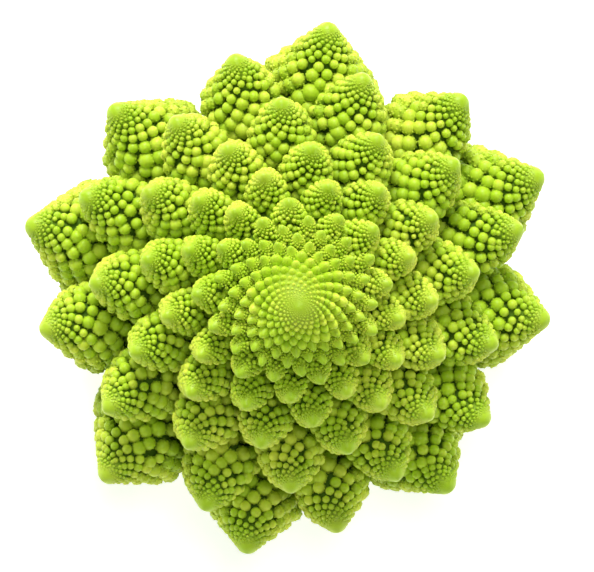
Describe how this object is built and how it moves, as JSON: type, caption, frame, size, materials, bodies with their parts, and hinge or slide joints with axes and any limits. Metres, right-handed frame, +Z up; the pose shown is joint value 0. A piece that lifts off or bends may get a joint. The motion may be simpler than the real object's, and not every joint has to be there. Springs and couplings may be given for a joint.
{
  "type": "romanesco head",
  "caption": "Whole romanesco head: pointed, bud-covered florets set in spirals round a tapering stalk, rising to a pointed crown, standing on the stalk's cut face.",
  "frame": {"origin": "centre of the stalk's cut face, which is the face that the head stands on", "axes": "+Z up along the stalk to the growing tip; +X and +Y across the head, +Y the direction that is up in the usual view from above"},
  "size_m": [0.1587, 0.161, 0.124],
  "materials": {
    "floret_buds": "waxy satin buds, yellow-green where lit and deep green in the gaps between them",
    "crown_buds": "finely beaded satin, deepening to a smooth green growing tip",
    "stalk_flesh": "smooth pale green rind with leaf scars, and a moist cream-green cut face"
  },
  "bodies": {
    "root": {"stalk": "stalk_flesh", "floret_01": "floret_buds", "floret_02": "floret_buds", "floret_03": "floret_buds", "floret_04": "floret_buds", "floret_05": "floret_buds", "floret_06": "floret_buds", "floret_07": "floret_buds", "floret_08": "floret_buds", "floret_09": "floret_buds", "floret_10": "floret_buds", "floret_11": "floret_buds", "floret_12": "floret_buds", "floret_13": "floret_buds", "floret_14": "floret_buds", "floret_15": "floret_buds", "floret_16": "floret_buds", "floret_17": "floret_buds", "floret_18": "floret_buds", "floret_19": "floret_buds", "floret_20": "floret_buds", "floret_21": "floret_buds", "floret_22": "floret_buds", "floret_23": "floret_buds", "floret_24": "floret_buds", "floret_25": "floret_buds", "floret_26": "floret_buds", "floret_27": "floret_buds", "floret_28": "floret_buds", "floret_29": "floret_buds", "floret_30": "floret_buds", "floret_31": "floret_buds", "floret_32": "floret_buds", "floret_33": "floret_buds", "floret_34": "floret_buds", "floret_35": "floret_buds", "floret_36": "floret_buds", "floret_37": "floret_buds", "floret_38": "floret_buds", "floret_39": "floret_buds", "floret_40": "floret_buds", "floret_41": "floret_buds", "floret_42": "floret_buds", "floret_43": "floret_buds", "floret_44": "floret_buds", "floret_45": "floret_buds", "floret_46": "floret_buds", "floret_47": "floret_buds", "floret_48": "floret_buds", "floret_49": "floret_buds", "floret_50": "floret_buds", "floret_51": "floret_buds", "floret_52": "floret_buds", "floret_53": "floret_buds", "floret_54": "floret_buds", "floret_55": "floret_buds", "floret_56": "floret_buds", "crown": "crown_buds"}
  },
  "joints": []
}
